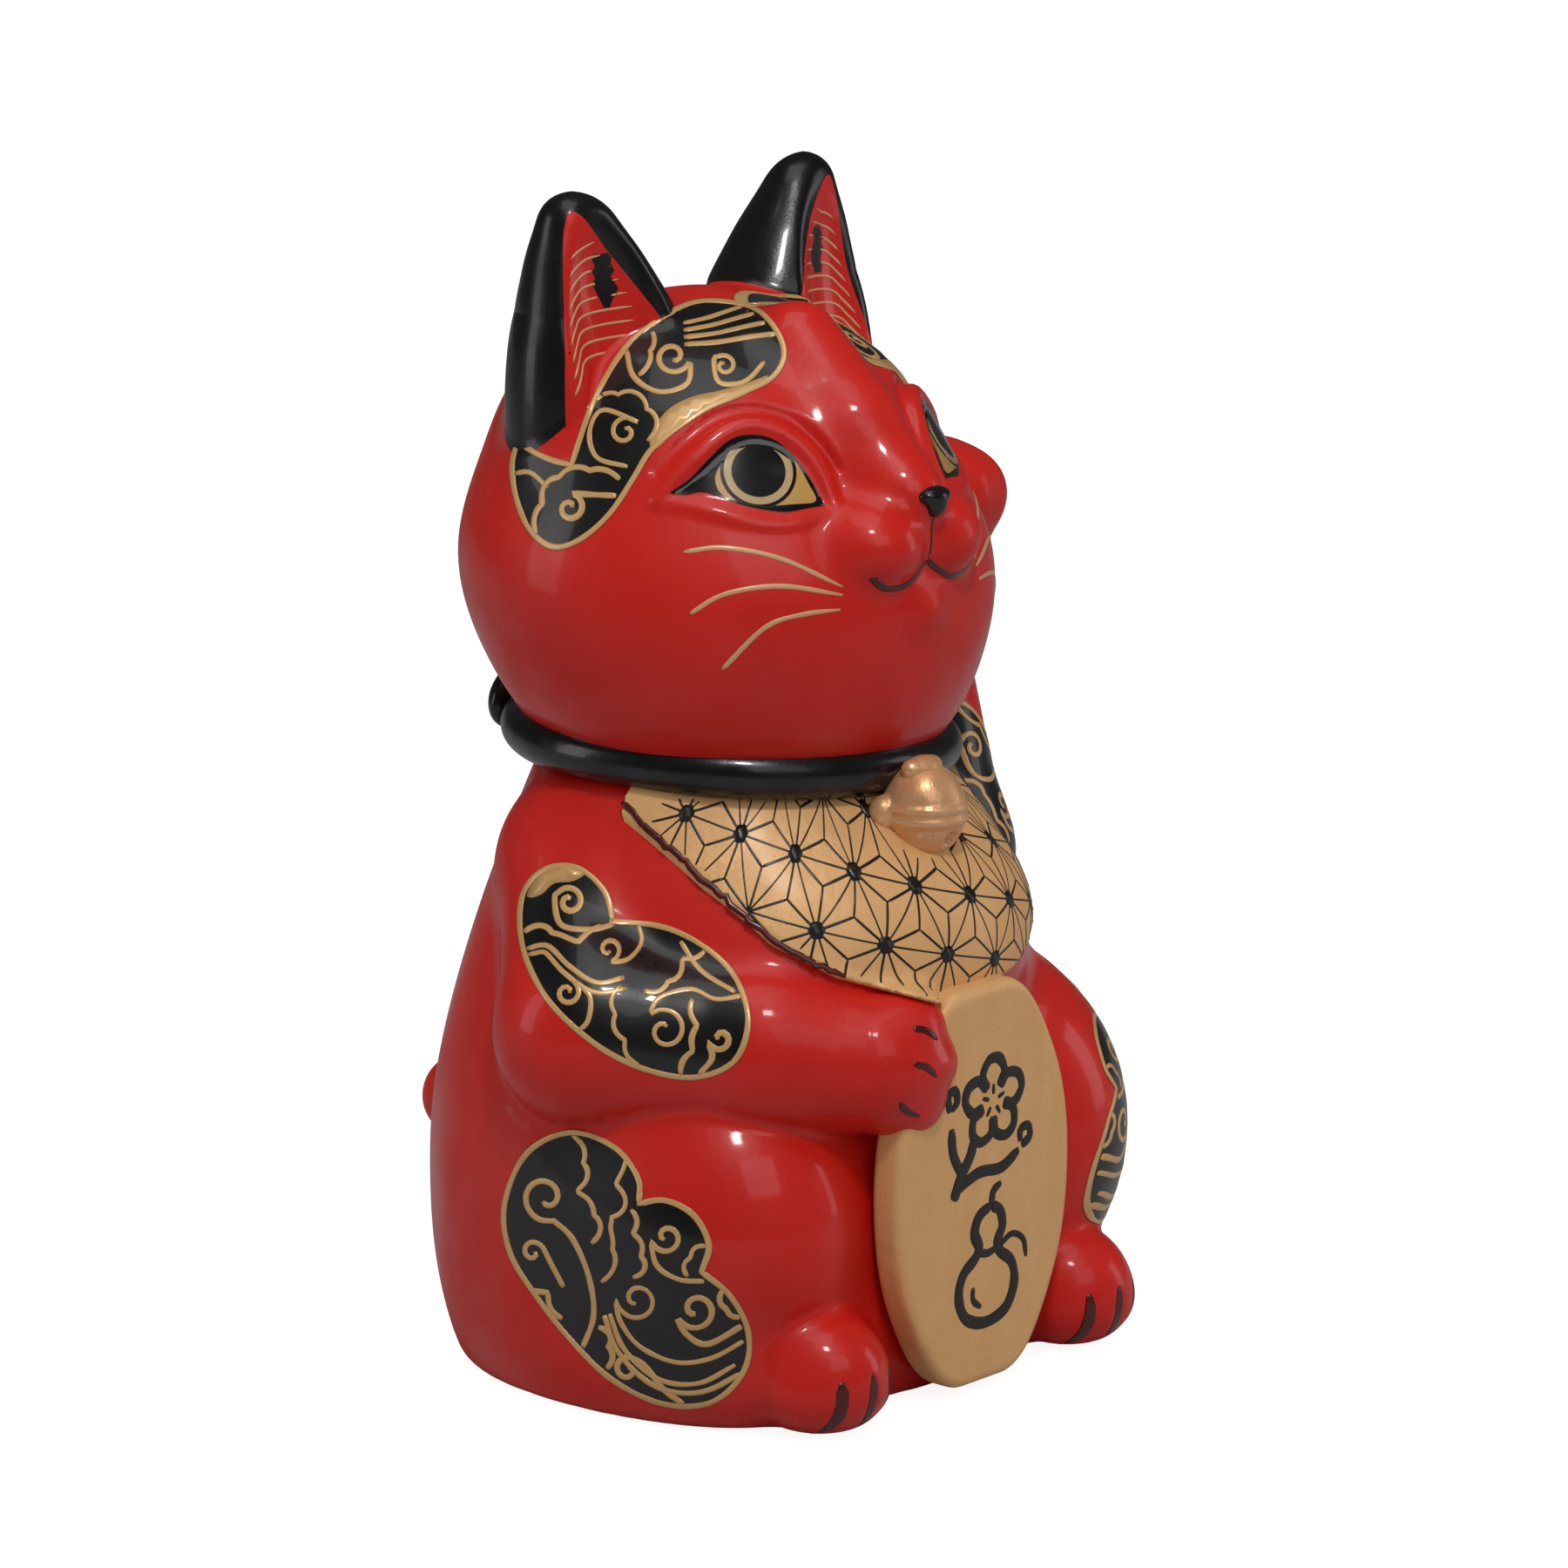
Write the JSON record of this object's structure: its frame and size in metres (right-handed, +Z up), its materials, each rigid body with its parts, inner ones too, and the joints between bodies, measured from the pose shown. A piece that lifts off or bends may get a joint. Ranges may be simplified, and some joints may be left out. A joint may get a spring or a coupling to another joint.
{
  "type": "beckoning cat figurine",
  "caption": "Hollow ceramic sitting cat with one foreleg raised and the other on a gold coin tablet; coin slot behind the head, stopper under the base.",
  "frame": {"origin": "on the floor, under the middle of the figure's footprint", "axes": "+Z up, the cat faces -Y, its left side (the raised foreleg) is +X"},
  "size_m": [0.0916, 0.0912, 0.1511],
  "materials": {
    "red_ceramic": "satin red enamel paint on ceramic, with black and gold decals",
    "black_enamel": "gloss black enamel",
    "eye_enamel": "gloss amber enamel with a black pupil",
    "copper_gold": "satin copper-gold metallic paint",
    "gold_paint": "matt gold metallic paint",
    "stopper_rubber": "matt moulded rubber"
  },
  "bodies": {
    "figure": {"body_shell": "red_ceramic", "head_shell": "red_ceramic", "left_ear": "black_enamel", "right_ear": "black_enamel", "left_eye": "eye_enamel", "right_eye": "eye_enamel", "nose": "black_enamel", "holding_arm": "red_ceramic", "raised_arm": "red_ceramic", "left_hind_foot": "red_ceramic", "right_hind_foot": "red_ceramic", "tail": "red_ceramic", "collar": "black_enamel", "collar_bow": "black_enamel", "bell": "copper_gold", "bell_loop": "copper_gold", "bib": "gold_paint", "koban": "gold_paint"},
    "stopper": {"base_stopper": "stopper_rubber"}
  },
  "joints": [
    {"name": "stopper_out", "type": "slide", "parent": "figure", "child": "stopper", "axis": [0, 0, -1], "range_m": [0, 0.012]}
  ]
}
